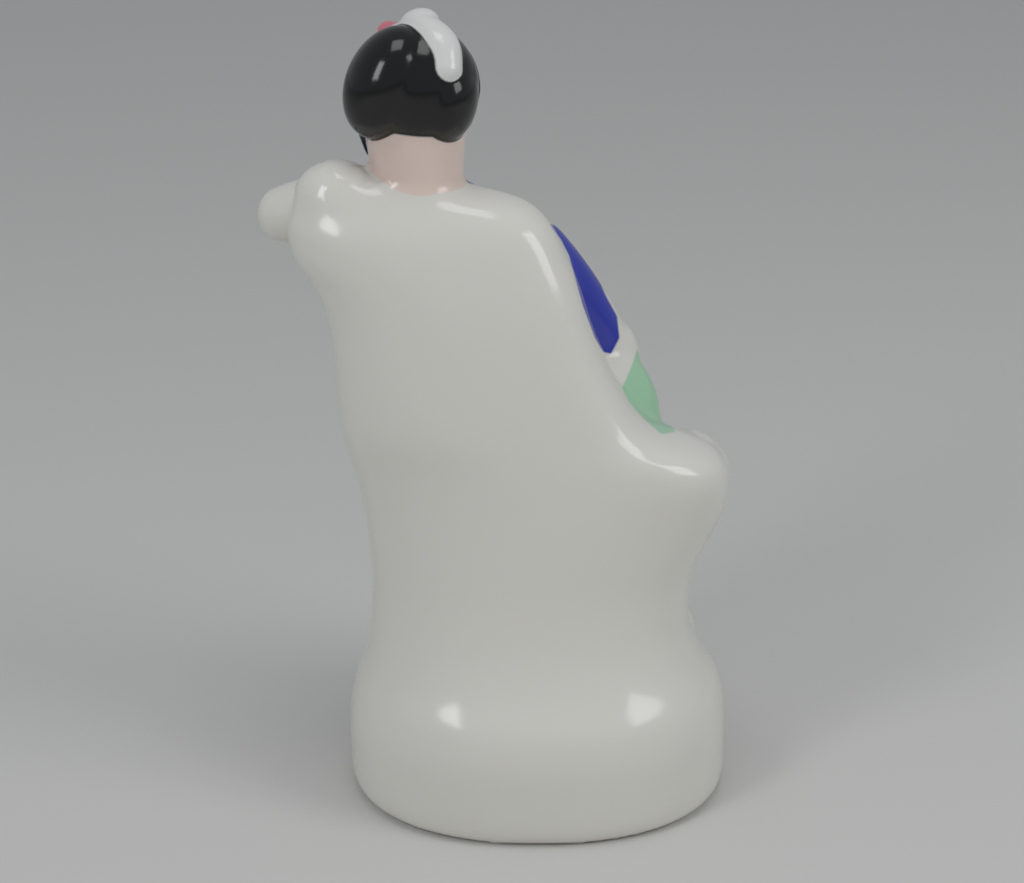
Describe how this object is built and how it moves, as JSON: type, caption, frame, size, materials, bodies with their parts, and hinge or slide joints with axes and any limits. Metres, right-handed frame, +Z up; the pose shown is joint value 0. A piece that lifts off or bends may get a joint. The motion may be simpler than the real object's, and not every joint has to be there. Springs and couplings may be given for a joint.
{
  "type": "staffordshire figure",
  "caption": "Glazed earthenware chimney ornament of a seated lady on a round base, backed by a plain white mantle, with a flat underside to stand on.",
  "frame": {"origin": "middle of the flat underside of the round base, where it rests on a shelf", "axes": "+Z up through the figure, -Y the way the lady faces, +X at her left hand"},
  "size_m": [0.1036, 0.0758, 0.1779],
  "materials": {
    "glazed_earthenware": "clear lead glaze over white earthenware, painted in blue, green, black and flesh enamels with a brown gilt line"
  },
  "bodies": {
    "root": {"figure": "glazed_earthenware"}
  },
  "joints": []
}
